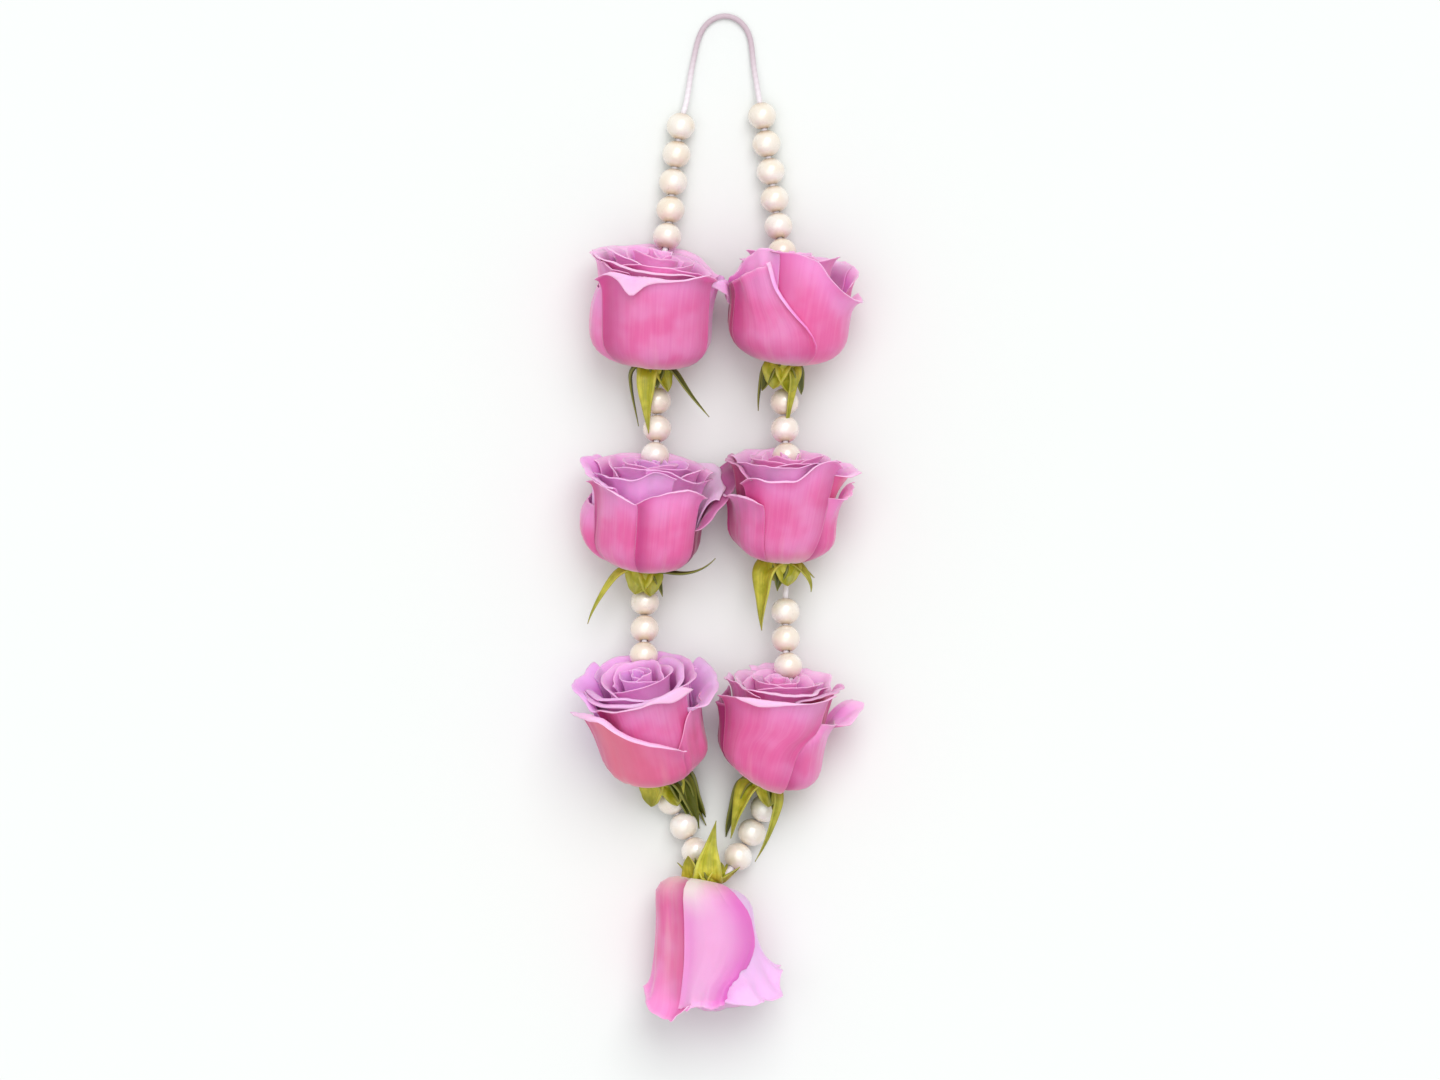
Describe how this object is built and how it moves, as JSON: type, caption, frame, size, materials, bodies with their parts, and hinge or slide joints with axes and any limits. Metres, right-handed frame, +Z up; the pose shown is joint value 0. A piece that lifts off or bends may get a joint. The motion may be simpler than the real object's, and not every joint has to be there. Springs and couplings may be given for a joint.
{
  "type": "rose flower necklace",
  "caption": "Necklace of pink roses and cream pearl beads on a thin mauve cord: two strands of roses and beads meet in one hanging rose below, with a bare cord loop at the top.",
  "frame": {"origin": "on the surface that the necklace lies on, under the middle of its roses and beads", "axes": "+Y from the hanging rose to the cord loop, +X to the right strand, +Z up from the surface"},
  "size_m": [0.1058, 0.3657, 0.0514],
  "materials": {
    "petals": "soft, matt rose petals, deep pink outside and lilac inside",
    "greens": "matt yellow-green hips and sepals",
    "pearls": "cream pearl with a soft shine",
    "cord": "thin mauve cord"
  },
  "bodies": {
    "root": {"bloom_left_top": "petals", "calyx_left_top": "greens", "bloom_right_top": "petals", "calyx_right_top": "greens", "bloom_left_middle": "petals", "calyx_left_middle": "greens", "bloom_right_middle": "petals", "calyx_right_middle": "greens", "bloom_left_low": "petals", "calyx_left_low": "greens", "bloom_right_low": "petals", "calyx_right_low": "greens", "bloom_pendant": "petals", "calyx_pendant": "greens", "pearl_left_foot_1": "pearls", "pearl_left_foot_2": "pearls", "pearl_left_foot_3": "pearls", "pearl_left_low_1": "pearls", "pearl_left_low_2": "pearls", "pearl_left_low_3": "pearls", "pearl_left_mid_1": "pearls", "pearl_left_mid_2": "pearls", "pearl_left_mid_3": "pearls", "pearl_left_top_1": "pearls", "pearl_left_top_2": "pearls", "pearl_left_top_3": "pearls", "pearl_left_top_4": "pearls", "pearl_left_top_5": "pearls", "pearl_right_top_1": "pearls", "pearl_right_top_2": "pearls", "pearl_right_top_3": "pearls", "pearl_right_top_4": "pearls", "pearl_right_top_5": "pearls", "pearl_right_top_6": "pearls", "pearl_right_mid_1": "pearls", "pearl_right_mid_2": "pearls", "pearl_right_mid_3": "pearls", "pearl_right_low_1": "pearls", "pearl_right_low_2": "pearls", "pearl_right_low_3": "pearls", "pearl_right_foot_1": "pearls", "pearl_right_foot_2": "pearls", "pearl_right_foot_3": "pearls", "cord": "cord"}
  },
  "joints": []
}
